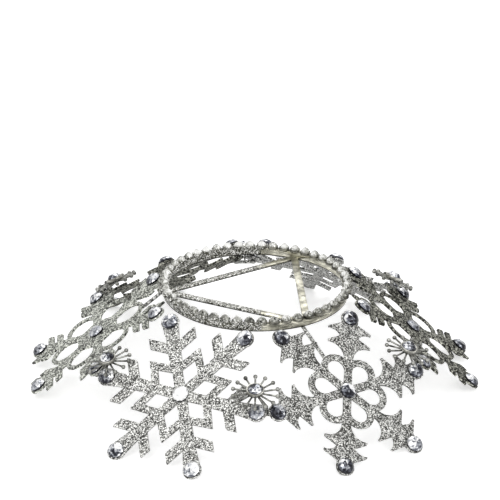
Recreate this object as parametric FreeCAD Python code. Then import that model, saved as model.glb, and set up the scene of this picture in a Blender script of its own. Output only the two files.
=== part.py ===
"""Snowflake candle ring: six cut-sheet snowflakes that lean out from a stone-set ring."""
import FreeCAD, Part
import math
import os

os.makedirs("parts", exist_ok=True)
Vector = FreeCAD.Vector

# Fits and overruns, millimetres
weld_gap = 0.05
stone_clearance = 0.05
foot_flat_depth = 0.3
cut_overrun = 20.0

# Ring band, stone chain and candle rest
ring_clearance = 4.2
ring_drop = 0.47
band_thickness = 1.0
band_height = 3.2
chain_count = 48
chain_cup_radius = 2.15
chain_cup_floor = 0.5
chain_cup_height = 1.3
chain_link_width = 1.1
chain_cup_wall = 0.3
chain_stone_girdle = 0.8
chain_stone_crown = 1.5
chain_stone_sides = 8
rest_bar_count = 3
rest_bar_width = 3.0
rest_bar_thickness = 1.0

# Place of the snowflakes about the ring
first_azimuth = 3.8
flake_azimuths = [first_azimuth + 60 * step - 90 for step in range(6)]
standing_angle = 39.5
flake_angles = [standing_angle + lean for lean in (-6.0, 0, 0, -2.5, 0, 0)]
pad_gap = 0.3

# Snowflake plates
plate_thickness = 1.0
arm_reach = 32.8
pad_radius = 3.7
arm_root_half = 1.6
arm_shoulder = 0.35
sector_half_angle = 30.0

# Branched snowflake: straight arms, two branches on each, a star of rhombic windows
branch_angle = 60.0
branch_foot_shares = (0.30, 0.57)
branch_offset = 9.5
star_reach = 20.8
star_half_angle = 33.0
star_bar_width = 3.1
window_root = 4.3

# Thorned snowflake: six petal loops, thorned arms
petal_reach = 16.5
petal_radius = 6.3
petal_hole_radius = 3.45
petal_root = 3.5
stem_half = 1.9
thorn_shares = [(0.03, 0.39, 0.575), (0.60, 0.745, 0.935)]
thorn_offset = 9.0
thorn_tip_width = 0.9
thorn_shoulder = 0.25
thorn_swell = 0.3
thorn_hollow_shares = (0.71, 0.27)

# Lobed snowflake: solid middle, six wide loops, two short tabs on each side of an arm
lobe_reach = 22.5
lobe_radius = 7.5
lobe_window_side = 2.0
lobe_middle_radius = 9.4
lobed_arm_half = 2.4
tab_angle = 60.0
tab_foot_shares = [(0.245, 0.535), (0.70, 0.985)]
tab_offset = 8.2

# Flat-back stones of the snowflakes
gem_rim = 0.27
gem_girdle = 0.7
gem_crown = 1.4
gem_sides = 12
table_share = 0.6

# Sunburst ornaments, each placed from the joint behind it: to the side, up the crease, proud
burst_sides = [0.5, -4.4, -0.3, -5.5, 0.0, -0.9]
burst_climbs = [4.7, 7.4, 7.5, 10.4, 9.6, 9.5]
burst_prouds = [3.9, 3.9, 3.9, 5.0, 3.9, 4.5]
burst_turn_angles = [0.4, -3.8, -0.3, -4.8, 0.0, -0.8]
burst_angles = [17.0, 17.0, 17.0, 28.0, 28.0, 28.0]
ray_count = 14
ray_radius = 0.38
ray_length = 8.7
bead_radius = 0.85
burst_hub_radius = 2.4
burst_hub_thickness = 0.9
burst_cup_radius = 3.5
burst_cup_floor = 0.6
burst_cup_height = 1.5
burst_cup_wall = 0.6
stem_radius = 0.4
stem_knee_climb = 2.2

# Round wire of the struts and joining rods; each strut sits to one side of its snowflake
wire_radius = 0.75
strut_foot_side = -1.7
strut_seat_side = -2.6
strut_lap = 2.6


def sine(angle):
    """Sine of an angle in degrees."""
    return math.sin(math.radians(angle))


def cosine(angle):
    """Cosine of an angle in degrees."""
    return math.cos(math.radians(angle))


# Sizes and heights worked out from the sizes above
chain_stone_radius = chain_cup_radius - chain_cup_wall - stone_clearance
gem_radius = pad_radius - gem_rim
burst_gem_radius = burst_cup_radius - burst_cup_wall - stone_clearance
arm_tip_half = pad_radius - arm_shoulder
thorned_tip_half = pad_radius - thorn_shoulder
thorn_notch_half = pad_radius + thorn_swell
flake_radius = 2 * arm_reach * cosine(sector_half_angle) + 2 * pad_radius + pad_gap
arm_climb = arm_reach * cosine(sector_half_angle)
arm_spread = arm_reach * sine(sector_half_angle)
upper_pad_radius = math.hypot(flake_radius - arm_climb * cosine(standing_angle), arm_spread)
ring_radius = upper_pad_radius - pad_radius - ring_clearance
pad_drop = pad_radius * sine(standing_angle) + plate_thickness / 2 * cosine(standing_angle)
flake_height = arm_climb * sine(standing_angle) + pad_drop - foot_flat_depth
ring_low = flake_height + arm_climb * sine(standing_angle) - ring_drop
ring_top = ring_low + band_height
band_inner = ring_radius - band_thickness
band_middle = ring_radius - band_thickness / 2
rest_half_angle = 180 / rest_bar_count
wire_depth = plate_thickness / 2 + wire_radius + weld_gap
up = Vector(0, 0, 1)


def outward(azimuth):
    """Level direction away from the ring's axis; azimuth 0 is the front, towards -Y."""
    return Vector(sine(azimuth), -cosine(azimuth), 0)


def frame_at(point, azimuth, slope):
    """Placement whose X runs along the ring, Y up the slope and Z out of the face."""
    out = outward(azimuth)
    along = Vector(cosine(azimuth), sine(azimuth), 0)
    climb = up * sine(slope) - out * cosine(slope)
    face = along.cross(climb)
    matrix = FreeCAD.Matrix(
        along.x, climb.x, face.x, point.x,
        along.y, climb.y, face.y, point.y,
        along.z, climb.z, face.z, point.z,
        0, 0, 0, 1)
    return FreeCAD.Placement(matrix)


def placed(shape, placement):
    """Copy of a shape carried from its own frame to a placement."""
    moved = shape.copy()
    moved.Placement = placement.multiply(shape.Placement)
    return moved


def turned(point, angle):
    """Flat point turned about the origin."""
    x = point[0] * cosine(angle) - point[1] * sine(angle)
    y = point[0] * sine(angle) + point[1] * cosine(angle)
    return (x, y)


def path_edges(path, flip, angle):
    """Edges of a flat path, whose steps are end points or (through, end) pairs for arcs."""
    def carried(point):
        x, y = turned((point[0], flip * point[1]), angle)
        return Vector(x, y, 0)

    edges = []
    start = carried(path[0])
    for step in path[1:]:
        if isinstance(step[0], tuple):
            through, end = carried(step[0]), carried(step[1])
            edges.append(Part.Arc(start, through, end).toShape())
        else:
            end = carried(step)
            edges.append(Part.LineSegment(start, end).toShape())
        start = end
    return edges


def closed_wire(path, angles):
    """Wire of a path and its mirror image, repeated at each of the angles."""
    edges = []
    for angle in angles:
        edges += path_edges(path, 1, angle) + path_edges(path, -1, angle)
    return Part.Wire(Part.__sortEdges__(edges))


def mid_sector(point):
    """Flat point given from a mid-sector line, seen from the arm beside it."""
    return turned(point, sector_half_angle)


def arm_half_at(along):
    """Half width of a straight tapering arm at a distance from the middle."""
    return arm_root_half + (arm_tip_half - arm_root_half) * along / arm_reach


def pad_start(half_width):
    """Distance along the arm at which the round pad leaves an arm of this half width."""
    return arm_reach - math.sqrt(pad_radius ** 2 - half_width ** 2)


def tip_path(half_width):
    """Round end of an arm, from its outermost point back to the arm's side."""
    shoulder = (pad_start(half_width), half_width)
    crown = turned((pad_radius, 0), 2 * sector_half_angle)
    return [(arm_reach + pad_radius, 0), ((arm_reach + crown[0], crown[1]), shoulder)]


def plate(outline, hole):
    """Flat plate with an outline and one hole in each sector, its middle plane at height 0."""
    sixths = [2 * sector_half_angle * step for step in range(6)]
    wires = [closed_wire(outline, sixths)]
    for angle in sixths:
        wires.append(closed_wire(hole, [angle + sector_half_angle]))
    face = Part.makeFace(wires, "Part::FaceMakerBullseye")
    face.translate(Vector(0, 0, -plate_thickness / 2))
    return face.extrude(Vector(0, 0, plate_thickness))


def between(start, end, shares):
    """Places along an arm, at these shares of the way from start to end."""
    return [start + share * (end - start) for share in shares]


def slanted_strip(feet, angle, offset, floor):
    """Four corners of a strip that leaves an arm's side at this angle, cut off level with it.

    feet are the strip's inner and outer places on the arm's side, floor is the half width there."""
    inner, outer = feet
    lean = (offset - floor) / math.tan(math.radians(angle))
    return [(outer, floor), (outer + lean, offset), (inner + lean, offset), (inner, floor)]


def star_side(reach, floor):
    """Where a slanting side of the star, from its point at this reach, meets the arm's side."""
    point = mid_sector((reach, 0))
    direction = 180 + sector_half_angle + star_half_angle
    steps = (point[1] - floor) / -sine(direction)
    return (point[0] + steps * cosine(direction), floor)


def branched_plate():
    """Snowflake with straight branched arms and six rhombic windows."""
    start = star_side(star_reach, arm_half_at(star_reach * cosine(star_half_angle)))
    feet = between(start[0], pad_start(arm_tip_half), branch_foot_shares)
    path = tip_path(arm_tip_half)
    path += slanted_strip(feet, branch_angle, branch_offset, arm_half_at(feet[0]))
    path += [start, mid_sector((star_reach, 0))]
    window_reach = star_reach - star_bar_width / sine(star_half_angle)
    corner = star_side(window_reach, arm_half_at(window_reach / 2))
    hole = [(window_root, 0), turned(corner, -sector_half_angle), (window_reach, 0)]
    return plate(path, hole)


def petal_hole():
    """Teardrop window: a point near the middle and a round outer end."""
    centre = petal_reach - petal_radius
    swing = math.degrees(math.asin(petal_hole_radius / (centre - petal_root)))
    touch = turned((0, petal_hole_radius), swing)
    crown = turned((petal_hole_radius, 0), sector_half_angle)
    side = (centre + touch[0], touch[1])
    through = (centre + crown[0], crown[1])
    return [(petal_root, 0), side, (through, (centre + petal_hole_radius, 0))]


def thorn(places, outer_half, inner_half):
    """Corners of one thorn with a hollowed inner side, from its outer foot to its inner foot.

    places are its inner foot, tip and outer foot along the arm, the halves its feet's half widths."""
    inner, tip, outer = places
    near_tip = tip - thorn_tip_width / 2
    along_share, rise_share = thorn_hollow_shares
    along = inner + along_share * (near_tip - inner)
    rise = inner_half + rise_share * (thorn_offset - inner_half)
    return [
        (outer, outer_half),
        (tip + thorn_tip_width / 2, thorn_offset),
        (near_tip, thorn_offset),
        ((along, rise), (inner, inner_half))]


def loop_meets_arm(reach, radius, arm_half):
    """Distance along an arm at which a round loop beside it meets the arm's side."""
    centre = reach - radius
    rise = centre * sine(sector_half_angle) - arm_half
    return centre * cosine(sector_half_angle) + math.sqrt(radius ** 2 - rise ** 2)


def loop_path(reach, radius, arm_half):
    """Side of a round loop from the arm's side to the middle of the sector."""
    bulge = turned((radius, 0), -sector_half_angle)
    through = mid_sector((reach - radius + bulge[0], bulge[1]))
    foot = (loop_meets_arm(reach, radius, arm_half), arm_half)
    return [foot, (through, mid_sector((reach, 0)))]


def thorned_plate():
    """Snowflake with six petal loops and two pairs of thorns on each arm."""
    start = loop_meets_arm(petal_reach, petal_radius, stem_half)
    end = pad_start(thorned_tip_half)
    inner_places, outer_places = [between(start, end, shares) for shares in thorn_shares]
    path = tip_path(thorned_tip_half)
    path += thorn(outer_places, thorned_tip_half, thorn_notch_half)
    path += thorn(inner_places, thorn_notch_half, stem_half)
    path += loop_path(petal_reach, petal_radius, stem_half)
    return plate(path, petal_hole())


def lobed_hole():
    """Wide window: round at its outer end, its sides along the arms, flat at the middle."""
    centre = lobe_reach - lobe_radius
    radius = centre * sine(sector_half_angle) - lobe_window_side
    touch = turned((0, radius), sector_half_angle)
    side = (centre + touch[0], touch[1])
    foot_half = side[1] - (side[0] - lobe_middle_radius) * math.tan(math.radians(sector_half_angle))
    crown = turned((radius, 0), 2 * sector_half_angle)
    through = (centre + crown[0], crown[1])
    foot = (lobe_middle_radius, foot_half)
    return [(lobe_middle_radius, 0), foot, side, (through, (centre + radius, 0))]


def lobed_plate():
    """Snowflake with a solid middle, six round lobes and two tabs on each side of an arm."""
    start = loop_meets_arm(lobe_reach, lobe_radius, lobed_arm_half)
    end = pad_start(lobed_arm_half)
    path = tip_path(lobed_arm_half)
    for shares in reversed(tab_foot_shares):
        path += slanted_strip(between(start, end, shares), tab_angle, tab_offset, lobed_arm_half)
    path += loop_path(lobe_reach, lobe_radius, lobed_arm_half)
    return plate(path, lobed_hole())


def polygon_ring(radius, height, sides, first):
    """Corners of a level regular polygon."""
    step = 360 / sides
    corners = [turned((radius, 0), (side + first) * step) for side in range(sides)]
    return [Vector(x, y, height) for x, y in corners]


def cut_stone(radius, girdle, crown, sides):
    """Flat-back faceted stone that stands on height 0, with its table on top."""
    low = polygon_ring(radius, 0, sides, 0)
    middle = polygon_ring(radius, girdle, sides, 0)
    table = polygon_ring(radius * table_share, girdle + crown, sides, 1 / 2)
    corners = [low[::-1], table]
    for side in range(sides):
        after = (side + 1) % sides
        corners.append([low[side], low[after], middle[after], middle[side]])
        corners.append([middle[side], middle[after], table[side]])
        corners.append([table[side], middle[after], table[after]])
    faces = [Part.Face(Part.makePolygon(loop + loop[:1])) for loop in corners]
    return Part.Solid(Part.Shell(faces))


def open_cup(radius, height, floor, bore):
    """Shallow round cup that stands on height 0."""
    body = Part.makeCylinder(radius, height)
    recess = Part.makeCylinder(bore, height, Vector(0, 0, floor))
    return body.cut(recess)


def rod(start, end, radius):
    """Round rod between two points."""
    run = end - start
    return Part.makeCylinder(radius, run.Length, start, run)


def ring_band():
    """Flat band bent into the ring."""
    outer = Part.makeCylinder(ring_radius, band_height, Vector(0, 0, ring_low))
    return outer.cut(Part.makeCylinder(band_inner, band_height, Vector(0, 0, ring_low)))


def chain_places():
    """Placement of each stone of the chain on the band."""
    step = 360 / chain_count
    for stone in range(chain_count):
        azimuth = first_azimuth + stone * step
        yield frame_at(outward(azimuth) * band_middle + up * ring_top, azimuth, 0)


def stone_chain():
    """Closed chain of round cups, joined at their floors by a flat strip."""
    half = chain_link_width / 2
    base = Vector(0, 0, ring_top)
    strip = Part.makeCylinder(band_middle + half, chain_cup_floor, base)
    strip = strip.cut(Part.makeCylinder(band_middle - half, chain_cup_floor, base))
    bore = chain_stone_radius + stone_clearance
    cup = open_cup(chain_cup_radius, chain_cup_height, chain_cup_floor, bore)
    cups = [placed(cup, place) for place in chain_places()]
    return strip.fuse(cups).removeSplitter()


def chain_stones():
    """The stones in the chain's cups."""
    stone = cut_stone(chain_stone_radius, chain_stone_girdle, chain_stone_crown, chain_stone_sides)
    stone.translate(Vector(0, 0, chain_cup_floor))
    return Part.makeCompound([placed(stone, place) for place in chain_places()])


def rest_bar(azimuth):
    """Flat bar across the ring, mitred to its neighbours, that faces this azimuth."""
    chord_distance = band_inner * cosine(rest_half_angle)
    bar = Part.makeBox(2 * band_inner, rest_bar_width, rest_bar_thickness)
    bar.translate(Vector(-band_inner, -chord_distance - rest_bar_width / 2, ring_low))
    foot = Vector(0, 0, ring_low)
    reach = band_inner - weld_gap
    sector = Part.makeCylinder(reach, rest_bar_thickness, foot, up, 2 * rest_half_angle)
    sector.rotate(Vector(), up, -90 - rest_half_angle)
    bar = bar.common(sector)
    bar.rotate(Vector(), up, azimuth)
    return bar


def flake_centre(azimuth):
    """Middle of a snowflake."""
    return outward(azimuth) * flake_radius + up * flake_height


def snowflake(shape, azimuth, slope):
    """Snowflake plate in its place, cut flat where it stands."""
    plate_in_place = placed(shape, frame_at(flake_centre(azimuth), azimuth, slope))
    reach = flake_radius + arm_reach + pad_radius + cut_overrun
    ground = Part.makeBox(2 * reach, 2 * reach, cut_overrun, Vector(-reach, -reach, -cut_overrun))
    return plate_in_place.cut(ground)


def round_edge(reach, radius):
    """Height of a round outer edge above the strut's foot line, on a mid-sector line."""
    return reach - radius + math.sqrt(radius ** 2 - strut_foot_side ** 2)


def strut(azimuth, slope, edge):
    """Round wire from under the band to the back of a snowflake.

    It laps the snowflake's back below this edge and runs straight to the band from there."""
    place = frame_at(flake_centre(azimuth), azimuth, slope)
    foot = place.multVec(Vector(strut_foot_side, edge - strut_lap, -wire_depth))
    knee = place.multVec(Vector(strut_foot_side, edge, -wire_depth))
    seat_azimuth = azimuth + math.degrees(math.asin(strut_seat_side / band_middle))
    seat = outward(seat_azimuth) * band_middle + up * ring_low
    past_seat = seat + (seat - knee)
    wire = rod(knee, past_seat, wire_radius)
    wire = wire.fuse([rod(foot, knee, wire_radius), Part.makeSphere(wire_radius, knee)])
    above = Part.makeCylinder(flake_radius, cut_overrun, Vector(0, 0, ring_low))
    return wire.removeSplitter().cut(above)


def pad_back(index, side):
    """Point behind the pad of a snowflake that touches its neighbour on this side."""
    azimuth, slope = flake_azimuths[index], flake_angles[index]
    place = frame_at(flake_centre(azimuth), azimuth, slope)
    return place.multVec(Vector(side * arm_reach, 0, -wire_depth))


def joining_rod(index, radius):
    """Round rod behind the pads where a snowflake meets the next one."""
    return rod(pad_back(index, 1), pad_back((index + 1) % 6, -1), radius)


def joint_frame(index):
    """Placement at the middle of a joining rod; Y climbs the crease between two snowflakes."""
    after = (index + 1) % 6
    slope = (flake_angles[index] + flake_angles[after]) / 2
    crease_slope = math.degrees(math.atan(math.tan(math.radians(slope)) * cosine(sector_half_angle)))
    middle = (pad_back(index, 1) + pad_back(after, -1)) / 2
    return frame_at(middle, flake_azimuths[index] + sector_half_angle, crease_slope)


def burst_place(index):
    """Placement of a sunburst ornament."""
    offset = Vector(burst_sides[index], burst_climbs[index], burst_prouds[index])
    centre = joint_frame(index).multVec(offset)
    azimuth = flake_azimuths[index] + sector_half_angle + burst_turn_angles[index]
    return frame_at(centre, azimuth, burst_angles[index])


def burst_stem(index):
    """Wire from the joining rod out between two pads and up to the middle of a sunburst."""
    joint = joint_frame(index)
    knee_rise = wire_depth + plate_thickness / 2 + stem_radius + weld_gap
    knee = joint.multVec(Vector(0, stem_knee_climb, knee_rise))
    top = burst_place(index).multVec(Vector(0, 0, -burst_hub_thickness / 4))
    wire = rod(joint.Base, knee, stem_radius)
    wire = wire.fuse([rod(knee, top, stem_radius), Part.makeSphere(stem_radius, knee)])
    return wire.cut(joining_rod(index, wire_radius + weld_gap))


def burst_rays():
    """Rays with beads around a small hub, in the ornament's own frame."""
    root = Vector(burst_hub_radius - ray_radius, 0, 0)
    tip = Vector(ray_length, 0, 0)
    beaded = rod(root, tip, ray_radius).fuse(Part.makeSphere(bead_radius, tip))
    parts = []
    for ray in range(ray_count):
        angle = (ray + 1 / 2) * 360 / ray_count
        parts.append(placed(beaded, FreeCAD.Placement(Vector(), FreeCAD.Rotation(up, angle))))
    hub = Part.makeCylinder(
        burst_hub_radius, burst_hub_thickness, Vector(0, 0, -burst_hub_thickness / 2))
    return hub.fuse(parts).removeSplitter()


def export(shape, name):
    """Write one named piece and report its solids and volume."""
    for solid in shape.Solids:
        if not solid.isValid():
            print("invalid solid in", name)
    shape.exportStep("parts/" + name + ".step")
    print(name, len(shape.Solids), "solids", round(shape.Volume, 2), "mm3")


export(ring_band(), "ring_band")
export(stone_chain(), "stone_chain")
export(chain_stones(), "chain_stones")

rest_names = ["front_left", "right", "back"]
for index, name in enumerate(rest_names):
    export(rest_bar(flake_azimuths[1 + 2 * index]), "rest_bar_" + name)

positions = ["left", "front_left", "front_right", "right", "back_right", "back_left"]
shapes = [lobed_plate(), branched_plate(), thorned_plate()]
edges = [
    round_edge(lobe_reach, lobe_radius),
    star_reach + strut_foot_side / math.tan(math.radians(star_half_angle)),
    round_edge(petal_reach, petal_radius)]
gem = cut_stone(gem_radius, gem_girdle, gem_crown, gem_sides)
gem.translate(Vector(0, 0, plate_thickness / 2))
for index, position in enumerate(positions):
    azimuth, slope = flake_azimuths[index], flake_angles[index]
    export(snowflake(shapes[index % 3], azimuth, slope), "snowflake_" + position)
    place = frame_at(flake_centre(azimuth), azimuth, slope)
    export(placed(gem, place), "centre_gem_" + position)
    tips = []
    for arm in range(6):
        x, y = turned((arm_reach, 0), arm * 2 * sector_half_angle)
        tip_gem = gem.copy()
        tip_gem.translate(Vector(x, y, 0))
        tips.append(placed(tip_gem, place))
    export(Part.makeCompound(tips), "tip_gems_" + position)

for index in range(0, 6, 2):
    azimuth, slope = flake_azimuths[index], flake_angles[index]
    export(strut(azimuth, slope, edges[index % 3]), "strut_" + positions[index])

joint_names = ["front_left", "front", "front_right", "back_right", "back", "back_left"]
rays = burst_rays()
burst_cup = open_cup(
    burst_cup_radius, burst_cup_height, burst_cup_floor, burst_gem_radius + stone_clearance)
burst_cup.translate(Vector(0, 0, burst_hub_thickness / 2))
burst_gem_girdle = burst_cup_height - burst_cup_floor
burst_gem = cut_stone(burst_gem_radius, burst_gem_girdle, gem_crown, gem_sides)
burst_gem.translate(Vector(0, 0, burst_hub_thickness / 2 + burst_cup_floor))
for index, name in enumerate(joint_names):
    export(joining_rod(index, wire_radius), "joining_rod_" + name)
    place = burst_place(index)
    star = placed(rays, place).fuse(burst_stem(index)).removeSplitter()
    export(star, "burst_rays_" + name)
    export(placed(burst_cup, place), "burst_cup_" + name)
    export(placed(burst_gem, place), "burst_gem_" + name)
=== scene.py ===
"""Looks of the snowflake ring: its finishes, its finer pieces, the studio and the camera."""

import logging
import math
import random
from collections.abc import Iterable
from dataclasses import dataclass
from enum import Enum
from itertools import zip_longest

import bpy
from mathutils import Matrix, Vector


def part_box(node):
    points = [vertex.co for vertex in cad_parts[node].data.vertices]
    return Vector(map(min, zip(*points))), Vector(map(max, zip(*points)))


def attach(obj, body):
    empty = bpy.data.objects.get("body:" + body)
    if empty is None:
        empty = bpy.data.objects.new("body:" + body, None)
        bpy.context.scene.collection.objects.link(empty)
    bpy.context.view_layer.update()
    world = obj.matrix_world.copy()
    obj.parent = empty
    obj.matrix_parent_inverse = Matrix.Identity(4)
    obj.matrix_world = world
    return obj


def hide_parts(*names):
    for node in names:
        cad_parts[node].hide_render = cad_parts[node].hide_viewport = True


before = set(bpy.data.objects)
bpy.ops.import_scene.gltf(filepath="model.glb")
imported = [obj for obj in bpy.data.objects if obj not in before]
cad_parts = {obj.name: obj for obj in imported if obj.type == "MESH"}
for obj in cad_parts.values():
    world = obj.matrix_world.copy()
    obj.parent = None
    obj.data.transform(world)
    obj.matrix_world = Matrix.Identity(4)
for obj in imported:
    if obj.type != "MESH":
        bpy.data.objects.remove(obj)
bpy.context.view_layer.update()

Colour = tuple[float, float, float]
Span = tuple[float, float]
log = logging.getLogger("snowflake_ring")

SIDES = ("left", "front_left", "front_right", "right", "back_right", "back_left")
JOINTS = ("front_left", "front", "front_right", "back_right", "back", "back_left")
BARS = ("front_left", "right", "back")
STRUTS = ("left", "front_right", "back_right")
ARMS = 6
ARM_STEP = 360.0 / ARMS
HALF_STEP = math.pi / ARMS
MERGE_DISTANCE = 0.000002
CREASE_ANGLE = math.radians(38.0)
UNIT: Span = (0.0, 1.0)


class Slot(Enum):
    """Names of the record's material slots; no piece here takes its finish from them."""

    GLITTER = "silver_glitter"
    CHAMPAGNE = "champagne_metal"
    BRIGHT = "bright_metal"
    DARK = "dark_silver"
    STONE = "clear_stone"


@dataclass(frozen=True)
class Tone:
    """Painted lightness of one stone as a whole, standing for how much light it reflects."""

    shift: float = 0.0
    contrast: float = 1.0


# Tones of the stones' painted light, on the six arms of each snowflake and, last, in its middle
STONE_TONES = {
    "left": (Tone(0.22), Tone(0.16, 0.6), Tone(0.12, 0.7), Tone(0.15, 0.6), Tone(0.0, 0.9),
             Tone(0.12, 0.5), Tone(0.12, 0.12)),
    "front_left": (Tone(0.12, 0.5), Tone(0.18, 0.9), Tone(0.16, 0.7), Tone(0.10, 0.9), Tone(0.26),
                   Tone(0.34, 0.7), Tone(0.52, 0.3)),
    "front_right": (Tone(0.0, 0.8), Tone(-0.10), Tone(0.06), Tone(0.04), Tone(-0.08),
                    Tone(0.25), Tone(0.13)),
    "right": (Tone(), Tone(0.05), Tone(0.0, 0.7), Tone(0.02, 0.8), Tone(-0.04, 0.9),
              Tone(-0.04, 0.9), Tone(-0.06, 0.5)),
    "back_right": (Tone(0.05, 0.8),) * (ARMS + 1),
    "back_left": (Tone(0.05, 0.8),) * (ARMS + 1),
}


# Selecting and shaping

def only(*pieces: bpy.types.Object) -> None:
    """Select these pieces and nothing else, and make the first one active.

    Args:
        pieces: The pieces to select.
    """
    if bpy.context.object and bpy.context.object.mode != "OBJECT":
        bpy.ops.object.mode_set(mode="OBJECT")
    bpy.ops.object.select_all(action="DESELECT")
    for piece in pieces:
        piece.select_set(True)
    if pieces:
        bpy.context.view_layer.objects.active = pieces[0]


def pick_faces(piece: bpy.types.Object, wanted: Iterable[int]) -> None:
    """Leave the piece in edit mode with only these faces selected.

    Args:
        piece: The mesh piece.
        wanted: Index of each face to select.
    """
    only(piece)
    bpy.ops.object.mode_set(mode="EDIT")
    bpy.ops.mesh.select_mode(type="FACE")
    bpy.ops.mesh.select_all(action="DESELECT")
    bpy.ops.object.mode_set(mode="OBJECT")
    for index in wanted:
        piece.data.polygons[index].select = True
    bpy.ops.object.mode_set(mode="EDIT")


def top_face(piece: bpy.types.Object) -> int:
    """Index of the highest face of a piece.

    Args:
        piece: The mesh piece.

    Returns:
        The face's index.
    """
    return max(piece.data.polygons, key=lambda face: face.center.z).index


def raise_top(piece: bpy.types.Object, rise: float, shrink: float, turn: float) -> None:
    """Extrude the top face upwards, narrow it and turn it.

    Args:
        piece: The mesh piece, centred on the vertical axis.
        rise: Height of the new row.
        shrink: New width as a share of the old one.
        turn: Turn of the new face about the vertical axis, in radians.
    """
    top = top_face(piece)
    height = piece.data.polygons[top].center.z + rise
    pick_faces(piece, [top])
    bpy.ops.mesh.extrude_region_move(TRANSFORM_OT_translate={"value": (0, 0, rise)})
    centre = (0, 0, height)
    bpy.ops.transform.resize(value=(shrink, shrink, 1), center_override=centre)
    if turn:
        bpy.ops.transform.rotate(value=turn, orient_axis="Z", center_override=centre)
    bpy.ops.object.mode_set(mode="OBJECT")


def set_out(model: bpy.types.Object, places: list[Matrix], name: str,
            tones: Iterable[Tone] = (), draw: random.Random | None = None) -> bpy.types.Object:
    """Copy a finished model to each place, each copy with its own mesh, and join them.

    Args:
        model: The model at the origin; it is used up.
        places: Where each copy goes.
        name: Name of the joined piece.
        tones: Tone of each copy, for stones.
        draw: Random draw that varies the facets of each copy, for stones.

    Returns:
        The joined piece.
    """
    copies = []
    for place, tone in zip_longest(places, tones):
        only(model)
        bpy.ops.object.duplicate()
        copy = bpy.context.active_object
        if tone:
            FACETS.tone(copy, tone, draw)
        copy.data.transform(place)
        copies.append(copy)
    bpy.data.objects.remove(model)
    only(*copies)
    bpy.ops.object.join()
    piece = bpy.context.active_object
    piece.name = name
    piece.data.name = name
    return piece


def softened_copy(node: str, name: str, width: float, segments: int) -> bpy.types.Object:
    """Copy of a node with rounded edges, to stand for it.

    Args:
        node: Name of the node.
        name: Name of the new piece.
        width: Width of the rounding.
        segments: Number of faces across the rounding.

    Returns:
        The new piece.
    """
    only(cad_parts[node])
    bpy.ops.object.duplicate()
    piece = bpy.context.active_object
    piece.parent = None
    for key in [key for key in piece.keys() if key.startswith("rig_")]:
        del piece[key]
    piece.name = name
    piece.data.name = name
    bpy.ops.object.mode_set(mode="EDIT")
    bpy.ops.mesh.select_all(action="SELECT")
    bpy.ops.mesh.remove_doubles(threshold=MERGE_DISTANCE)
    bpy.ops.object.mode_set(mode="OBJECT")
    bevel = piece.modifiers.new("Rounding", "BEVEL")
    bevel.limit_method = "ANGLE"
    bevel.angle_limit = CREASE_ANGLE
    bevel.width = width
    bevel.segments = segments
    bevel.use_clamp_overlap = False
    bpy.ops.object.modifier_apply(modifier=bevel.name)
    bpy.ops.object.shade_smooth_by_angle(angle=CREASE_ANGLE)
    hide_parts(node)
    return piece


def finished(piece: bpy.types.Object, material: bpy.types.Material) -> None:
    """Give a new piece its material and slot, and let it ride on the one body.

    Args:
        piece: The new piece.
        material: Its material.
    """
    piece.data.materials.clear()
    piece.data.materials.append(material)
    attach(piece, "root")
    log.info("%s: %d faces", piece.name, len(piece.data.polygons))


def dress_node(node: str, material: bpy.types.Material) -> None:
    """Give a node that is kept as it is a better material.

    Args:
        node: Name of the node.
        material: Its new material.
    """
    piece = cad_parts[node]
    if not piece.material_slots:
        piece.data.materials.append(material)
    for slot in piece.material_slots:
        slot.material = material
    log.info("%s: dressed in %s", node, material.name)


@dataclass(frozen=True)
class FacetShades:
    """Painted light and shade on a stone's facets, from 0 for dark to 1 for bright."""

    attribute: str = "facet"
    girdle: float = 0.10
    middle: float = 0.5
    spread: float = 0.30
    crown: float = 0.45
    crown_highlight_climb: float = 0.30
    table: float = 0.44
    table_highlight_climb: float = 0.20
    table_wave: float = 0.16
    table_waves: int = 2
    wave_start: float = 0.6
    table_level: float = 0.99
    upward_level: float = 0.01
    first_angle: float = 0.1
    height_digits: int = 6
    angle_digits: int = 3

    def shade(self, stone: bpy.types.Object, girdle_height: float) -> None:
        """Paint each facet of a stone with light and shade: painted highlight up the slope,
        painted shade below.

        Args:
            stone: The stone at the origin.
            girdle_height: Height of the girdle, whose sides stay dark as painted shade.
        """
        values = []
        # The light climbs towards +Y, up the slope: painted highlight on that side, painted shade
        # on the side below.
        for face in stone.data.polygons:
            around = math.atan2(face.center.y, face.center.x)
            upward = math.sin(around)
            if face.center.z < girdle_height:
                values.append(self.girdle)
            elif abs(face.normal.z) > self.table_level:
                wave = self.table_wave * math.sin(around * self.table_waves + self.wave_start)
                values.append(self.table + wave + self.table_highlight_climb * upward)
            else:
                values.append(self.crown + self.crown_highlight_climb * upward)
        layer = stone.data.attributes.new(self.attribute, "FLOAT", "FACE")
        layer.data.foreach_set("value", values)

    def rank(self, face: bpy.types.MeshPolygon) -> tuple[float, float]:
        """Rank of a facet by its height and then its angle.

        The mesh itself holds its facets in an order that differs from run to run.

        Args:
            face: The facet, on a stone at the origin.

        Returns:
            Rounded height and angle.
        """
        angle = math.atan2(face.center.y, face.center.x) + self.first_angle
        return round(face.center.z, self.height_digits), round(angle % math.tau, self.angle_digits)

    def tone(self, stone: bpy.types.Object, tone: Tone, draw: random.Random) -> None:
        """Set the tone of one stone as a whole and vary each facet; the girdle stays dark.

        Args:
            stone: The copy of the stone, still at the origin.
            tone: Its tone.
            draw: The random draw.
        """
        shades = stone.data.attributes[self.attribute].data
        facets = [face for face in stone.data.polygons if face.normal.z > self.upward_level]
        for face in sorted(facets, key=self.rank):
            entry = shades[face.index]
            varied = entry.value - self.middle + draw.uniform(-self.spread, self.spread)
            entry.value = min(1.0, max(0.0, self.middle + varied * tone.contrast + tone.shift))


FACETS = FacetShades()


# Places on the ring

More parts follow.
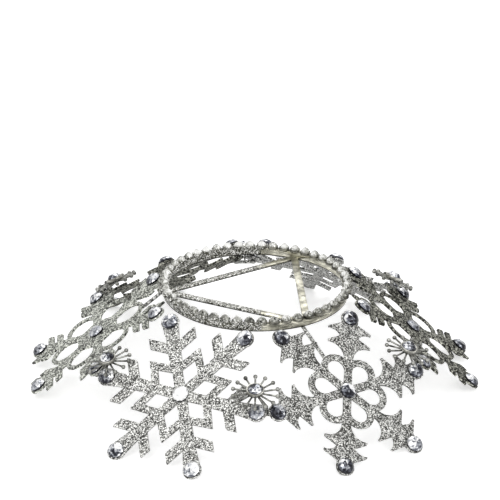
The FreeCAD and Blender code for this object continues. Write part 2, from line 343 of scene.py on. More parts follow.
def outward(azimuth: float) -> Vector:
    """Level direction away from the ring's axis; azimuth 0 is the front.

    Args:
        azimuth: Direction in degrees.

    Returns:
        A vector of length 1.
    """
    turn = math.radians(azimuth)
    return Vector((math.sin(turn), -math.cos(turn), 0))


def place_at(point: Vector, azimuth: float, slope: float) -> Matrix:
    """Place whose X runs along the ring, Y up the slope and Z out of the face.

    Args:
        point: Origin of the place.
        azimuth: Direction that it faces, in degrees.
        slope: Slope of its face, in degrees.

    Returns:
        The place as a matrix.
    """
    out = outward(azimuth)
    along = Vector((-out.y, out.x, 0))
    tilt = math.radians(slope)
    climb = Vector((0, 0, math.sin(tilt))) - out * math.cos(tilt)
    face = along.cross(climb)
    turn = Matrix((along, climb, face)).transposed().to_4x4()
    return Matrix.Translation(point) @ turn


@dataclass(frozen=True)
class FlakeRing:
    """Places of the six snowflakes and of the joints between them."""

    first_azimuth: float = 3.8
    left_turn: float = 90.0
    standing_angle: float = 39.5
    leans: tuple[float, ...] = (-6.0, 0.0, 0.0, -2.5, 0.0, 0.0)
    arm_reach: float = 0.0328
    pad_radius: float = 0.0037
    pad_gap: float = 0.0003
    plate_thickness: float = 0.001
    foot_flat_depth: float = 0.0003
    wire_radius: float = 0.00075
    weld_gap: float = 0.00005

    @property
    def radius(self) -> float:
        """Distance of a snowflake's middle from the ring's axis."""
        return 2 * self.arm_reach * math.cos(HALF_STEP) + 2 * self.pad_radius + self.pad_gap

    @property
    def height(self) -> float:
        """Height of a snowflake's middle above the floor."""
        tilt = math.radians(self.standing_angle)
        arm = self.arm_reach * math.cos(HALF_STEP) * math.sin(tilt)
        pad = self.pad_radius * math.sin(tilt) + self.plate_thickness / 2 * math.cos(tilt)
        return arm + pad - self.foot_flat_depth

    @property
    def wire_depth(self) -> float:
        """Distance of the back wires' middle from the plate's middle."""
        return self.plate_thickness / 2 + self.wire_radius + self.weld_gap

    def azimuth(self, index: int) -> float:
        """Direction in degrees that a snowflake faces."""
        return self.first_azimuth + ARM_STEP * index - self.left_turn

    def joint_azimuth(self, index: int) -> float:
        """Direction in degrees that the joint after a snowflake faces."""
        return self.azimuth(index) + ARM_STEP / 2

    def angle(self, index: int) -> float:
        """Slope of a snowflake in degrees."""
        return self.standing_angle + self.leans[index]

    def place(self, index: int) -> Matrix:
        """Place of a snowflake's middle."""
        azimuth = self.azimuth(index)
        centre = outward(azimuth) * self.radius + Vector((0, 0, self.height))
        return place_at(centre, azimuth, self.angle(index))

    def arm_end(self, arm: int) -> Vector:
        """Middle of an arm's round end, in the snowflake's own place."""
        turn = math.radians(ARM_STEP * arm)
        return Vector((math.cos(turn), math.sin(turn), 0)) * self.arm_reach

    def pad_back(self, index: int, side: int) -> Vector:
        """Middle of the back wire behind a level arm's end.

        Args:
            index: The snowflake.
            side: 1 towards the next snowflake, -1 towards the one before.

        Returns:
            The point.
        """
        return self.place(index) @ Vector((side * self.arm_reach, 0, -self.wire_depth))

    def joint_place(self, index: int) -> Matrix:
        """Place at the middle of a joining rod; its Y climbs the crease.

        Args:
            index: The snowflake before the joint.

        Returns:
            The place as a matrix.
        """
        after = (index + 1) % ARMS
        slope = math.radians((self.angle(index) + self.angle(after)) / 2)
        crease = math.degrees(math.atan(math.tan(slope) * math.cos(HALF_STEP)))
        middle = (self.pad_back(index, 1) + self.pad_back(after, -1)) / 2
        return place_at(middle, self.joint_azimuth(index), crease)


RING = FlakeRing()


# Node trees

class Graph:
    """Shorthand for adding and joining the nodes of one tree."""

    def __init__(self, tree: bpy.types.NodeTree) -> None:
        """Start on a tree.

        Args:
            tree: The tree to work in.
        """
        self.tree = tree

    def add(self, kind: str, inputs: dict | None = None, **settings) -> bpy.types.Node:
        """Add a node, set its properties and fill or join its inputs.

        Args:
            kind: The node's type.
            inputs: Value or output socket for each input, by name or number.
            settings: The node's own properties.

        Returns:
            The node.
        """
        node = self.tree.nodes.new(kind)
        for key, value in settings.items():
            setattr(node, key, value)
        for key, value in (inputs or {}).items():
            if isinstance(value, bpy.types.NodeSocket):
                self.join(value, node.inputs[key])
            else:
                node.inputs[key].default_value = value
        return node

    def math(self, operation: str, first, second=0.0) -> bpy.types.NodeSocket:
        """Add a Math node and return its output."""
        return self.add("ShaderNodeMath", {0: first, 1: second}, operation=operation).outputs[0]

    def use(self, group: bpy.types.NodeTree, values: dict) -> bpy.types.Node:
        """Add a shared node group with its own values and return the node."""
        node = self.add("ShaderNodeGroup", node_tree=group)
        for title, value in values.items():
            node.inputs[title].default_value = value
        return node

    def vector(self, operation: str, inputs: dict) -> bpy.types.NodeSocket:
        """Add a Vector Math node and return its output."""
        return self.add("ShaderNodeVectorMath", inputs, operation=operation).outputs[0]

    def join(self, output: bpy.types.NodeSocket, target: bpy.types.NodeSocket) -> None:
        """Link an output socket to an input socket."""
        self.tree.links.new(output, target)

    def mix(self, share, first, second) -> bpy.types.NodeSocket:
        """Mix two colours by a share and return the result."""
        node = self.add("ShaderNodeMix", {0: share}, data_type="RGBA")
        for socket, value in ((node.inputs[6], first), (node.inputs[7], second)):
            if isinstance(value, bpy.types.NodeSocket):
                self.tree.links.new(value, socket)
            else:
                socket.default_value = (*value, 1)
        return node.outputs[2]

    def span(self, value, source: Span, target: Span = UNIT) -> bpy.types.NodeSocket:
        """Map a value from one range to another and return the result."""
        inputs = {0: value, 1: source[0], 2: source[1], 3: target[0], 4: target[1]}
        return self.add("ShaderNodeMapRange", inputs, clamp=True).outputs[0]


def new_group(name: str, inputs: dict[str, str],
              outputs: dict[str, str]) -> tuple[Graph, dict, dict]:
    """Make an empty shader node group with named sockets.

    Args:
        name: The group's name.
        inputs: Socket type of each input.
        outputs: Socket type of each output.

    Returns:
        The group's graph, its input sockets and its output sockets by name.
    """
    tree = bpy.data.node_groups.new(name, "ShaderNodeTree")
    for title, kind in inputs.items():
        tree.interface.new_socket(title, in_out="INPUT", socket_type=kind)
    for title, kind in outputs.items():
        tree.interface.new_socket(title, in_out="OUTPUT", socket_type=kind)
    graph = Graph(tree)
    start = graph.add("NodeGroupInput")
    end = graph.add("NodeGroupOutput")
    given = {title: start.outputs[title] for title in inputs}
    wanted = {title: end.inputs[title] for title in outputs}
    return graph, given, wanted


@dataclass(frozen=True)
class GlitterPattern:
    """Coarse glitter: flat grains, each with its own colour, gloss and tilt."""

    patch_scale: float = 260.0
    patch_detail: float = 3.0
    patches: Span = (0.35, 0.65)
    drift: Span = (-0.10, 0.10)
    dark_shades: Span = (0.12, 0.5)
    light_shades: Span = (0.5, 0.80)
    gap_distances: Span = (0.45, 0.75)
    gap_darkness: Span = (0.0, 0.65)
    gloss: Span = (0.32, 0.66)

    def group(self) -> bpy.types.NodeTree:
        """Build the node group."""
        graph, given, wanted = new_group(
            "Glitter grains",
            {"Grains": "NodeSocketFloat", "Tilt": "NodeSocketFloat", "Dark": "NodeSocketColor",
             "Middle": "NodeSocketColor", "Light": "NodeSocketColor"},
            {"Colour": "NodeSocketColor", "Roughness": "NodeSocketFloat",
             "Normal": "NodeSocketVector", "Height": "NodeSocketFloat"})
        place = graph.add("ShaderNodeTexCoord").outputs["Object"]
        grains = graph.add("ShaderNodeTexVoronoi", {"Vector": place, "Scale": given["Grains"]})
        split = graph.add("ShaderNodeSeparateColor", {0: grains.outputs["Color"]})
        shade, gloss, spark = split.outputs[0], split.outputs[1], split.outputs[2]
        patches = graph.add("ShaderNodeTexNoise", {"Vector": place, "Scale": self.patch_scale,
                                                   "Detail": self.patch_detail})
        drift = graph.span(patches.outputs[0], self.patches, self.drift)
        shade = graph.math("ADD", shade, drift)
        low = graph.span(shade, self.dark_shades)
        high = graph.span(shade, self.light_shades)
        colour = graph.mix(low, given["Dark"], given["Middle"])
        colour = graph.mix(high, colour, given["Light"])
        gap = graph.span(grains.outputs["Distance"], self.gap_distances, self.gap_darkness)
        colour = graph.mix(gap, colour, given["Dark"])
        graph.join(colour, wanted["Colour"])
        graph.join(graph.span(gloss, UNIT, self.gloss), wanted["Roughness"])
        centred = graph.vector("SUBTRACT", {0: grains.outputs["Color"], 1: (0.5, 0.5, 0.5)})
        tilt = graph.vector("SCALE", {0: centred, "Scale": given["Tilt"]})
        normal = graph.add("ShaderNodeNewGeometry").outputs["Normal"]
        tilted = graph.vector("ADD", {0: normal, 1: tilt})
        graph.join(graph.vector("NORMALIZE", {0: tilted}), wanted["Normal"])
        graph.join(spark, wanted["Height"])
        return graph.tree


@dataclass(frozen=True)
class TarnishPattern:
    """Plated metal with cloudy tarnish and fine drawn streaks; the streaks set its roughness and
    bumps and also lighten and darken its colour as painted sheen.
    """

    cloud_detail: float = 5.0
    streak_detail: float = 2.0
    stretch: tuple[float, float, float] = (0.12, 0.12, 1.0)
    clouds: Span = (0.40, 0.66)
    streaks: Span = (0.38, 0.62)
    streak_sheen: Span = (0.55, 1.45)
    cloud_share: float = 0.5

    def group(self) -> bpy.types.NodeTree:
        """Build the node group."""
        graph, given, wanted = new_group(
            "Tarnished plating",
            {"Clouds": "NodeSocketFloat", "Streaks": "NodeSocketFloat", "Clean": "NodeSocketColor",
             "Tarnished": "NodeSocketColor", "Low": "NodeSocketFloat", "High": "NodeSocketFloat"},
            {"Colour": "NodeSocketColor", "Roughness": "NodeSocketFloat",
             "Height": "NodeSocketFloat"})
        place = graph.add("ShaderNodeTexCoord").outputs["Object"]
        clouds = graph.add("ShaderNodeTexNoise", {"Vector": place, "Scale": given["Clouds"],
                                                  "Detail": self.cloud_detail}).outputs[0]
        stretched = graph.add("ShaderNodeMapping", {"Vector": place, "Scale": self.stretch})
        streaks = graph.add("ShaderNodeTexNoise", {"Vector": stretched.outputs[0],
                                                   "Scale": given["Streaks"],
                                                   "Detail": self.streak_detail}).outputs[0]
        share = graph.span(clouds, self.clouds)
        tint = graph.mix(share, given["Clean"], given["Tarnished"])
        # Painted sheen: the streaks scale the colour up and down in lengthwise bands.
        bright = graph.span(streaks, self.streaks, self.streak_sheen)
        graph.join(graph.vector("SCALE", {0: tint, "Scale": bright}), wanted["Colour"])
        blend = graph.math("ADD", graph.math("MULTIPLY", share, self.cloud_share),
                           graph.math("MULTIPLY", streaks, 1 - self.cloud_share))
        spread = graph.math("SUBTRACT", given["High"], given["Low"])
        rough = graph.math("ADD", graph.math("MULTIPLY", blend, spread), given["Low"])
        graph.join(rough, wanted["Roughness"])
        graph.join(streaks, wanted["Height"])
        return graph.tree


GLITTER = GlitterPattern().group()
TARNISH = TarnishPattern().group()


def new_material(name: str) -> tuple[bpy.types.Material, Graph, bpy.types.Node]:
    """Make a material that holds only its Principled BSDF and output.

    Args:
        name: The material's name.

    Returns:
        The material, its graph and the shader node.
    """
    material = bpy.data.materials.new(name)
    material.use_nodes = True
    graph = Graph(material.node_tree)
    return material, graph, material.node_tree.nodes["Principled BSDF"]


# Finishes

@dataclass(frozen=True)
class GlitterFinish:
    """Sheet metal or wire under a coat of coarse glitter."""

    name: str
    dark: Colour = (0.022, 0.022, 0.020)
    middle: Colour = (0.32, 0.32, 0.30)
    light: Colour = (0.96, 0.96, 0.93)
    grain_size: float = 0.00036
    tilt: float = 0.6
    metallic: float = 0.65
    glancing: float = 1.0
    bump: float = 0.35
    bump_depth: float = 0.0002

    def material(self) -> bpy.types.Material:
        """Build the material."""
        material, graph, shader = new_material(self.name)
        group = self.grains(graph)
        graph.join(group.outputs["Colour"], shader.inputs["Base Color"])
        graph.join(group.outputs["Roughness"], shader.inputs["Roughness"])
        bump = graph.add("ShaderNodeBump", {"Strength": self.bump, "Distance": self.bump_depth,
                                            "Height": group.outputs["Height"],
                                            "Normal": group.outputs["Normal"]})
        graph.join(bump.outputs[0], shader.inputs["Normal"])
        shader.inputs["Metallic"].default_value = self.metallic
        shader.inputs["Specular Tint"].default_value = (*(self.glancing,) * 3, 1)
        return material

    def grains(self, graph: Graph) -> bpy.types.Node:
        """Add the glitter group with this finish's values.

        Args:
            graph: Graph of the material.

        Returns:
            The group node.
        """
        values = {"Grains": 1 / self.grain_size, "Tilt": self.tilt, "Dark": (*self.dark, 1),
                  "Middle": (*self.middle, 1), "Light": (*self.light, 1)}
        return graph.use(GLITTER, values)


@dataclass(frozen=True)
class MetalFinish:
    """Plated metal that has dulled a little."""

    name: str
    clean: Colour
    tarnished: Colour
    low: float = 0.18
    high: float = 0.42
    clouds: float = 180.0
    streaks: float = 2600.0
    bump: float = 0.12
    bump_depth: float = 0.0001

    def material(self) -> bpy.types.Material:
        """Build the material."""
        material, graph, shader = new_material(self.name)
        group = self.plating(graph)
        graph.join(group.outputs["Colour"], shader.inputs["Base Color"])
        graph.join(group.outputs["Roughness"], shader.inputs["Roughness"])
        bump = graph.add("ShaderNodeBump", {"Strength": self.bump, "Distance": self.bump_depth,
                                            "Height": group.outputs["Height"]})
        graph.join(bump.outputs[0], shader.inputs["Normal"])
        shader.inputs["Metallic"].default_value = 1.0
        return material

    def plating(self, graph: Graph) -> bpy.types.Node:
        """Add the plating group with this finish's values.

        Args:
            graph: Graph of the material.

        Returns:
            The group node.
        """
        values = {"Clouds": self.clouds, "Streaks": self.streaks, "Low": self.low,
                  "High": self.high, "Clean": (*self.clean, 1),
                  "Tarnished": (*self.tarnished, 1)}
        return graph.use(TARNISH, values)


@dataclass(frozen=True)
class BandFinish:
    """Plated metal that caught glitter on its left side, with painted shade along its lower edge.
    """

    plating: MetalFinish
    glitter: GlitterFinish
    glitter_fade: Span = (-0.002, 0.008)
    glitter_share: Span = (0.62, 0.0)
    speck_scale: float = 900.0
    speck_detail: float = 2.0
    speck_edge: Span = (0.80, 0.90)
    edge_height: float = 0.0386
    edge_fade: float = 0.0002
    edge_shade: float = 0.08
    bump: float = 0.6
    bump_depth: float = 0.0002

    def material(self) -> bpy.types.Material:
        """Build the material."""
        material, graph, shader = new_material(self.plating.name)
        metal = self.plating.plating(graph)
        grains = self.glitter.grains(graph)
        place = graph.add("ShaderNodeTexCoord").outputs["Object"]
        axes = graph.add("ShaderNodeSeparateXYZ", {0: place}).outputs
        near = graph.span(axes["X"], self.glitter_fade, self.glitter_share)
        specks = graph.add("ShaderNodeTexNoise", {"Vector": place, "Scale": self.speck_scale,
                                                  "Detail": self.speck_detail})
        share = graph.span(graph.math("ADD", near, specks.outputs[0]), self.speck_edge)
        colour = graph.mix(share, metal.outputs["Colour"], grains.outputs["Colour"])
        # Painted shade: below the edge height the colour turns near-black, a thin dark line along
        # the lower edge.
        edge = graph.span(axes["Z"], (self.edge_height - self.edge_fade,
                                      self.edge_height + self.edge_fade), (1.0, 0.0))
        shadow = tuple(self.edge_shade * part for part in self.plating.tarnished)
        graph.join(graph.mix(edge, colour, shadow), shader.inputs["Base Color"])
        rough = graph.add("ShaderNodeMix", {0: share, 2: metal.outputs["Roughness"],
                                            3: grains.outputs["Roughness"]}, data_type="FLOAT")
        graph.join(rough.outputs[0], shader.inputs["Roughness"])
        height = graph.math("MULTIPLY", share, grains.outputs["Height"])
        bump = graph.add("ShaderNodeBump", {"Strength": self.bump, "Distance": self.bump_depth,
                                            "Height": height})
        graph.join(bump.outputs[0], shader.inputs["Normal"])
        shader.inputs["Metallic"].default_value = 1.0
        return material


@dataclass(frozen=True)
class StoneFinish:
    """Foil-backed clear stone: each facet's colour is painted reflection, from painted shade to a
    painted white highlight, with painted glints inside.
    """

    name: str
    stops: tuple[tuple[float, Colour], ...]
    facet_share: float = 0.78
    glint_share: float = 0.22
    glint_scale: float = 1400.0
    metallic: float = 0.55
    roughness: float = 0.09
    coat: float = 0.25
    coat_roughness: float = 0.03

    def material(self) -> bpy.types.Material:
        """Build the material."""
        material, graph, shader = new_material(self.name)
        facet = graph.add("ShaderNodeAttribute", attribute_name=FACETS.attribute).outputs["Fac"]
        place = graph.add("ShaderNodeTexCoord").outputs["Object"]
        inner = graph.add("ShaderNodeTexVoronoi", {"Vector": place, "Scale": self.glint_scale})
        glint = graph.add("ShaderNodeSeparateColor", {0: inner.outputs["Color"]}).outputs[0]
        mixed = graph.math("ADD", graph.math("MULTIPLY", facet, self.facet_share),
                           graph.math("MULTIPLY", glint, self.glint_share))
        ramp = graph.add("ShaderNodeValToRGB", {0: mixed})
        ramp.color_ramp.interpolation = "EASE"
        while len(ramp.color_ramp.elements) < len(self.stops):
            ramp.color_ramp.elements.new(1.0)
        for element, (position, colour) in zip(ramp.color_ramp.elements, self.stops):
            element.position = position
            element.color = (*colour, 1)
        graph.join(ramp.outputs["Color"], shader.inputs["Base Color"])
        shader.inputs["Metallic"].default_value = self.metallic
        shader.inputs["Roughness"].default_value = self.roughness
        shader.inputs["Coat Weight"].default_value = self.coat
        shader.inputs["Specular IOR Level"].default_value = self.coat
        shader.inputs["Coat Roughness"].default_value = self.coat_roughness
        return material


# Ramps of painted reflection: near-black painted shade at the bottom, white painted highlight at
# the top.
CUT_STONE = StoneFinish("Cut stone", (
    (0.0, (0.001, 0.001, 0.003)), (0.28, (0.008, 0.009, 0.015)), (0.44, (0.075, 0.08, 0.10)),
    (0.60, (0.36, 0.375, 0.41)), (0.76, (1.0, 1.0, 1.0))))
CHAIN_STONE = StoneFinish("Chain stone", (
    (0.0, (0.010, 0.010, 0.008)), (0.20, (0.17, 0.17, 0.15)), (0.46, (0.52, 0.52, 0.48)),
    (0.68, (0.98, 0.98, 0.96))))

BRIGHT_PLATING = MetalFinish("Bright plating", clean=(0.44, 0.435, 0.40),
                             tarnished=(0.16, 0.157, 0.14))
DARK_WIRE = MetalFinish("Dark silver wire", clean=(0.30, 0.30, 0.28),
                        tarnished=(0.05, 0.05, 0.045), low=0.22, high=0.5, clouds=420.0)
SOLDER = MetalFinish("Solder", clean=(0.42, 0.42, 0.41), tarnished=(0.24, 0.24, 0.23),
                     low=0.3, high=0.6, clouds=600.0)
BAND_PLATING = MetalFinish("Champagne plating", clean=(0.60, 0.585, 0.495),
                           tarnished=(0.25, 0.24, 0.19))
CUP_PLATING = MetalFinish("Cup plating", clean=(0.26, 0.255, 0.22),
                          tarnished=(0.05, 0.05, 0.04))

WIRE_GLITTER = GlitterFinish("Glitter wire")
BAND_GLITTER = GlitterFinish("Band glitter", dark=(0.02, 0.02, 0.016), middle=(0.19, 0.186, 0.15))
BAND = BandFinish(BAND_PLATING, BAND_GLITTER)
CUPS = BandFinish(CUP_PLATING, BAND_GLITTER)

# Silver, pewter and olive are one silver glitter in steps of darkness; the pewter and olive steps
# on the front-right, right and back flakes are painted shade.
CHAMPAGNE = GlitterFinish("Glitter champagne", middle=(0.335, 0.35, 0.305),
                          light=(0.94, 0.96, 0.88), grain_size=0.00055)
SILVER = GlitterFinish("Glitter silver")
SILVER_IN_PAINTED_SHADE = GlitterFinish("Glitter in painted shade", middle=(0.155, 0.155, 0.143), light=(0.90, 0.90, 0.87))
SILVER_IN_DEEP_PAINTED_SHADE = GlitterFinish("Glitter in deep painted shade", middle=(0.062, 0.062, 0.050), light=(0.60, 0.60, 0.53),
                      grain_size=0.0006, glancing=0.12)
FLAKE_COATS = (CHAMPAGNE, SILVER, SILVER_IN_PAINTED_SHADE, SILVER_IN_DEEP_PAINTED_SHADE, SILVER_IN_PAINTED_SHADE, SILVER_IN_DEEP_PAINTED_SHADE)


# Sub-assemblies

@dataclass(frozen=True)
class CutStone:
    """One flat-back faceted stone, which stands on height 0 with its table on top."""

    radius: float
    girdle: float = 0.0007
    crown: float = 0.0014
    sides: int = 12
    belt_share: float = 0.86
    belt_rise_share: float = 0.48
    table_share: float = 0.58

    def build(self, name: str) -> bpy.types.Object:
        """Model the stone at the origin.

        Args:
            name: Name of the model.

        Returns:
            The stone, flat shaded.
        """
        only()
        bpy.ops.mesh.primitive_cylinder_add(
            vertices=self.sides, radius=self.radius, depth=self.girdle,
            end_fill_type="NGON", location=(0, 0, self.girdle / 2))
        stone = bpy.context.active_object
        stone.name = name
        bpy.ops.object.transform_apply(location=True, rotation=False, scale=False)
        half_step = math.pi / self.sides
        belt_rise = self.crown * self.belt_rise_share
        raise_top(stone, belt_rise, self.belt_share, half_step)
        raise_top(stone, self.crown - belt_rise, self.table_share / self.belt_share, half_step)
        pick_faces(stone, [top_face(stone)])
        bpy.ops.mesh.poke()
        bpy.ops.object.mode_set(mode="OBJECT")
        rows = [face.index for face in stone.data.polygons
                if face.center.z > self.girdle and len(face.vertices) == 4]
        pick_faces(stone, rows)
        bpy.ops.mesh.quads_convert_to_tris()
        bpy.ops.object.mode_set(mode="OBJECT")
        FACETS.shade(stone, self.girdle)
        return stone


@dataclass
class Snowflakes:
    """The six cut plates under their coat of glitter."""

    rounding: float = 0.00022
    segments: int = 2

    def build(self) -> None:
        """Round the edges of each plate and coat it."""
        coats = {coat: coat.material() for coat in dict.fromkeys(FLAKE_COATS)}
        for side, coat in zip(SIDES, FLAKE_COATS):
            piece = softened_copy(f"snowflake_{side}", f"flake_{side}", self.rounding,
                                  self.segments)
            finished(piece, coats[coat])


@dataclass
class FlakeStones:
    """Stones on the arms' ends and in the middle of each snowflake."""

    stone: CutStone = CutStone(radius=0.0033)
    # Random turn of each stone, up to this many degrees, which keeps its painted highlight up the
    # slope.
    swing: float = 55.0

    def place(self, index: int, arm: int | None, draw: random.Random) -> Matrix:
        """Place of one stone on a snowflake's face.

        Args:
            index: The snowflake.
            arm: The arm, or None for the middle.
            draw: Random draw of the stone's turn.

        Returns:
            The place as a matrix.
        """
        point = RING.arm_end(arm) if arm is not None else Vector()
        point.z = RING.plate_thickness / 2
        spin = Matrix.Rotation(math.radians(draw.uniform(-self.swing, self.swing)), 4, "Z")
        return RING.place(index) @ Matrix.Translation(point) @ spin

    def build(self, material: bpy.types.Material) -> None:
        """Set out the stones and dress them.

        Args:
            material: Material of the stones.
        """
        for index, side in enumerate(SIDES):
            draw = random.Random(index)
            *tip_tones, middle_tone = STONE_TONES[side]
            ends = [self.place(index, arm, draw) for arm in range(ARMS)]
            tips = set_out(self.stone.build("stone"), ends, f"tip_stones_{side}", tip_tones, draw)
            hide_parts(f"tip_gems_{side}")
            finished(tips, material)
            middle = set_out(self.stone.build("stone"), [self.place(index, None, draw)],
                             f"centre_stone_{side}", [middle_tone], draw)
            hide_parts(f"centre_gem_{side}")
            finished(middle, material)


@dataclass
class RingTop:
    """Band, stone chain and the three bars inside the band."""

    band_thickness: float = 0.001
    rounding: float = 0.0002
    segments: int = 3
    bar_segments: int = 2
    cup_rounding: float = 0.0001
    seed: int = 60
    stone_count: int = 48
    stone: CutStone = CutStone(radius=0.0018, girdle=0.0008, crown=0.0015, belt_share=0.88,
                               belt_rise_share=0.56, table_share=0.44)
    stone_shifts: tuple[float, ...] = (-0.08, -0.03, 0.0, 0.05, 0.22)
    cup_floor: float = 0.0005

    def chain_places(self) -> list[Matrix]:
        """Place of each stone of the chain on the band."""
        low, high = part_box("ring_band")
        middle = (high.x - low.x) / 2 - self.band_thickness / 2
        places = []
        for stone in range(self.stone_count):
            azimuth = RING.first_azimuth + stone * 360.0 / self.stone_count
            spot = outward(azimuth) * middle + Vector((0, 0, high.z))
            places.append(place_at(spot, azimuth, 0.0))
        return places

    def build_chain(self, stones: bpy.types.Material, metal: bpy.types.Material) -> None:
        """Set out the chain's stones and dress the cups.

        Args:
            stones: Material of the stones.
            metal: Material of the cups.
        """
        places = self.chain_places()
        lifted = [place @ Matrix.Translation((0, 0, self.cup_floor)) for place in places]
        draw = random.Random(self.seed)
        tones = [Tone(draw.choice(self.stone_shifts)) for _ in lifted]
        row = set_out(self.stone.build("stone"), lifted, "chain_stone_row", tones, draw)
        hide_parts("chain_stones")
        finished(row, stones)
        cups = softened_copy("stone_chain", "chain_cups", self.cup_rounding, 1)
        finished(cups, metal)

    def build_band(self, material: bpy.types.Material) -> None:
        """Round the band's and the bars' edges and dress them.

        Args:
            material: Material of the band and bars.
        """
        band = softened_copy("ring_band", "band", self.rounding, self.segments)
        finished(band, material)
        for name in BARS:
            bar = softened_copy(f"rest_bar_{name}", f"rest_{name}", self.rounding,
                                self.bar_segments)
            finished(bar, material)


@dataclass
class BackWires:
    """Struts and joining rods behind the snowflakes, with the solder that holds them."""

    blob_radius: float = 0.00125
    blob_stretch: tuple[float, float, float] = (1.25, 1.0, 0.72)
    blob_subdivisions: int = 3
    unevenness: float = 0.05
    smoothing: int = 3
    seed: int = 5

    def blob(self) -> bpy.types.Object:
        """Model one uneven drop of solder."""
        only()
        bpy.ops.mesh.primitive_ico_sphere_add(subdivisions=self.blob_subdivisions,
                                              radius=self.blob_radius)
        blob = bpy.context.active_object
        bpy.ops.object.mode_set(mode="EDIT")
        bpy.ops.mesh.select_all(action="SELECT")
        bpy.ops.transform.resize(value=self.blob_stretch, center_override=(0, 0, 0))
        bpy.ops.mesh.select_all(action="DESELECT")
        bpy.ops.object.mode_set(mode="OBJECT")
        draw = random.Random(self.seed)
        for vertex in blob.data.vertices:
            vertex.co *= 1 + draw.uniform(-self.unevenness, self.unevenness)
        smooth = blob.modifiers.new("Flow", "SMOOTH")
        smooth.iterations = self.smoothing
        bpy.ops.object.modifier_apply(modifier=smooth.name)
        bpy.ops.object.shade_smooth_by_angle(angle=math.pi / 2)
        return blob

    def build(self, wire: bpy.types.Material, solder: bpy.types.Material) -> None:
        """Dress the wires and set out the solder behind the touching arms.

        Args:
            wire: Material of the wires.
            solder: Material of the solder.
        """
        for name in STRUTS:
            dress_node(f"strut_{name}", wire)
        for name in JOINTS:
            dress_node(f"joining_rod_{name}", wire)
        places = []
        for index in range(ARMS):
            for side in (-1, 1):
                spot = Vector((side * RING.arm_reach, 0, -RING.wire_depth))
                places.append(RING.place(index) @ Matrix.Translation(spot))
        drops = set_out(self.blob(), places, "solder_drops")
        finished(drops, solder)


@dataclass
class Sunbursts:
    """The six ornaments of beaded rays over the joints."""

    sides: tuple[float, ...] = (0.0005, -0.0044, -0.0003, -0.0055, 0.0, -0.0009)
    climbs: tuple[float, ...] = (0.0047, 0.0074, 0.0075, 0.0104, 0.0096, 0.0095)
    prouds: tuple[float, ...] = (0.0039, 0.0039, 0.0039, 0.0050, 0.0039, 0.0045)
    turns: tuple[float, ...] = (0.4, -3.8, -0.3, -4.8, 0.0, -0.8)
    slopes: tuple[float, ...] = (17.0, 17.0, 17.0, 28.0, 28.0, 28.0)
    # Turn and tone of each ornament's stone, which set where its painted highlight and painted
    # shade fall.
    stone_turns: tuple[float, ...] = (170.0, 190.0, 20.0, -30.0, 10.0, 40.0)
    stone_tones: tuple[Tone, ...] = (Tone(0.03), Tone(-0.06, 1.2), Tone(-0.04), Tone(0.08, 0.7),
                                     Tone(0.05, 0.8), Tone(0.08, 0.7))
    hub_thickness: float = 0.0009
    cup_floor: float = 0.0006
    stone: CutStone = CutStone(radius=0.00285, girdle=0.0009)
    rounding: float = 0.00018
    segments: int = 2
    first_seed: int = 40

    def place(self, index: int) -> Matrix:
        """Place of one ornament.

        Args:
            index: The snowflake before the joint.

        Returns:
            The place as a matrix.
        """
        offset = Vector((self.sides[index], self.climbs[index], self.prouds[index]))
        centre = RING.joint_place(index) @ offset
        azimuth = RING.joint_azimuth(index) + self.turns[index]
        return place_at(centre, azimuth, self.slopes[index])

    def build(self, stones: bpy.types.Material, rays: bpy.types.Material,
              cup: bpy.types.Material) -> None:
        """Set the stones in their cups and dress the rays.

        Args:
            stones: Material of the stones.
            rays: Material of the rays.
            cup: Material of the cups.
        """
        rise = self.hub_thickness / 2 + self.cup_floor
        for index, name in enumerate(JOINTS):
            turn = Matrix.Rotation(math.radians(self.stone_turns[index]), 4, "Z")
            spot = self.place(index) @ Matrix.Translation((0, 0, rise)) @ turn
            gem = set_out(self.stone.build("stone"), [spot], f"burst_stone_{name}",
                          [self.stone_tones[index]], random.Random(index + self.first_seed))
            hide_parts(f"burst_gem_{name}")
            finished(gem, stones)
            rim = softened_copy(f"burst_cup_{name}", f"burst_rim_{name}", self.rounding,
                                self.segments)
            finished(rim, cup)
            dress_node(f"burst_rays_{name}", rays)


# Studio

@dataclass(frozen=True)
class Lamp:
    """One square area lamp."""

    name: str
    spot: tuple[float, float, float]
    size: float
    level: float


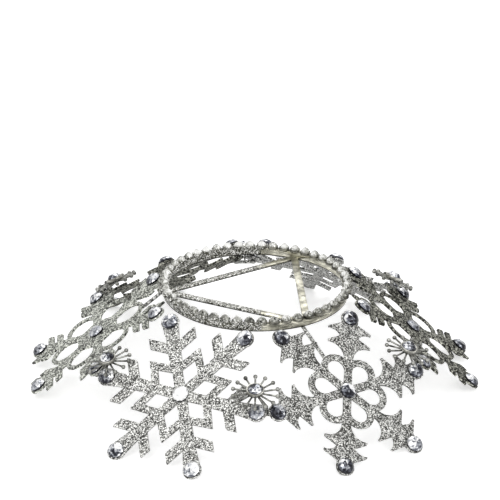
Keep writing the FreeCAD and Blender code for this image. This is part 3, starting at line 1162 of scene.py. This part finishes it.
@dataclass(frozen=True)
class Studio:
    """Pale floor, soft lamps and an even sky."""

    floor_size: float = 8.0
    floor_colour: Colour = (0.88, 0.88, 0.88)
    floor_roughness: float = 0.9
    floor_glow: float = 0.50
    sky_fill: float = 0.45
    aim: tuple[float, float, float] = (0.0, 0.0, 0.03)
    lamps: tuple[Lamp, ...] = (Lamp("key", (-0.35, -0.85, 0.95), 0.90, 0.36),
                               Lamp("fill", (0.75, -0.70, 0.60), 0.80, 0.26),
                               Lamp("back", (0.10, 0.70, 1.00), 0.80, 0.26))

    def seen(self, graph: Graph) -> bpy.types.NodeSocket:
        """Share that is 1 for rays from the camera, gloss and glass, and 0 for others."""
        path = graph.add("ShaderNodeLightPath").outputs
        gloss = graph.math("MAXIMUM", path["Is Glossy Ray"], path["Is Transmission Ray"])
        return graph.math("MAXIMUM", path["Is Camera Ray"], gloss)

    def build_floor(self) -> None:
        """Lay the floor, which keeps the soft shadow."""
        only()
        bpy.ops.mesh.primitive_plane_add(size=self.floor_size)
        floor = bpy.context.active_object
        floor.name = "floor"
        material, graph, shader = new_material("Paper floor")
        shader.inputs["Base Color"].default_value = (*self.floor_colour, 1)
        shader.inputs["Roughness"].default_value = self.floor_roughness
        shader.inputs["Emission Color"].default_value = (1, 1, 1, 1)
        glow = graph.math("MULTIPLY", self.seen(graph), self.floor_glow)
        graph.join(glow, shader.inputs["Emission Strength"])
        floor.data.materials.append(material)

    def build_sky(self) -> None:
        """Fill the world with an even white."""
        world = bpy.data.worlds.new("Even sky")
        world.use_nodes = True
        graph = Graph(world.node_tree)
        background = world.node_tree.nodes["Background"]
        background.inputs["Color"].default_value = (1, 1, 1, 1)
        share = graph.math("MULTIPLY", self.seen(graph), 1.0 - self.sky_fill)
        strength = graph.math("ADD", share, self.sky_fill)
        graph.join(strength, background.inputs["Strength"])
        bpy.context.scene.world = world

    def hang(self, lamp: Lamp) -> None:
        """Hang an area lamp that faces the object.

        Args:
            lamp: Its place, its width and the share of full light that it puts on a surface
                that faces it.
        """
        data = bpy.data.lights.new(lamp.name, "AREA")
        data.size = lamp.size
        gap = Vector(lamp.spot) - Vector(self.aim)
        data.energy = lamp.level * math.pi ** 2 * gap.length_squared
        light = bpy.data.objects.new(lamp.name, data)
        light.location = lamp.spot
        light.rotation_euler = gap.to_track_quat("Z", "Y").to_euler()
        bpy.context.scene.collection.objects.link(light)

    def build(self) -> None:
        """Set up the whole studio."""
        self.build_floor()
        self.build_sky()
        for lamp in self.lamps:
            self.hang(lamp)


@dataclass(frozen=True)
class PhotoCamera:
    """Camera at the photograph's viewing angle."""

    elevation: float = 23.61
    distance: float = 0.8844
    roll: float = 0.6
    lens: float = 157.86
    sensor: float = 36.0
    aim: Vector = Vector((-0.00246, 0.0, 0.05646))

    def build(self) -> None:
        """Place the camera and make it the scene's."""
        tilt, turn = math.radians(self.elevation), math.radians(self.roll)
        back = Vector((0, -math.cos(tilt), math.sin(tilt)))
        across = Vector((1, 0, 0))
        above = back.cross(across)
        right = across * math.cos(turn) + above * math.sin(turn)
        up = above * math.cos(turn) - across * math.sin(turn)
        data = bpy.data.cameras.new("camera")
        data.lens = self.lens
        data.sensor_width = self.sensor
        camera = bpy.data.objects.new("camera", data)
        camera.matrix_world = (Matrix.Translation(self.aim + back * self.distance)
                               @ Matrix((right, up, back)).transposed().to_4x4())
        bpy.context.scene.collection.objects.link(camera)
        bpy.context.scene.camera = camera


def main() -> None:
    """Build every sub-assembly, the studio and the camera."""
    logging.basicConfig(level=logging.INFO, format="%(name)s: %(message)s")
    stones = CUT_STONE.material()
    chain_stones = CHAIN_STONE.material()
    bright = BRIGHT_PLATING.material()
    dark = DARK_WIRE.material()
    solder = SOLDER.material()
    band = BAND.material()
    cups = CUPS.material()

    Snowflakes().build()
    FlakeStones().build(stones)
    top = RingTop()
    top.build_chain(chain_stones, cups)
    top.build_band(band)
    BackWires().build(WIRE_GLITTER.material(), solder)
    Sunbursts().build(stones, dark, bright)
    Studio().build()
    PhotoCamera().build()
    bpy.context.scene.view_settings.view_transform = "Standard"


if __name__ == "__main__":
    main()
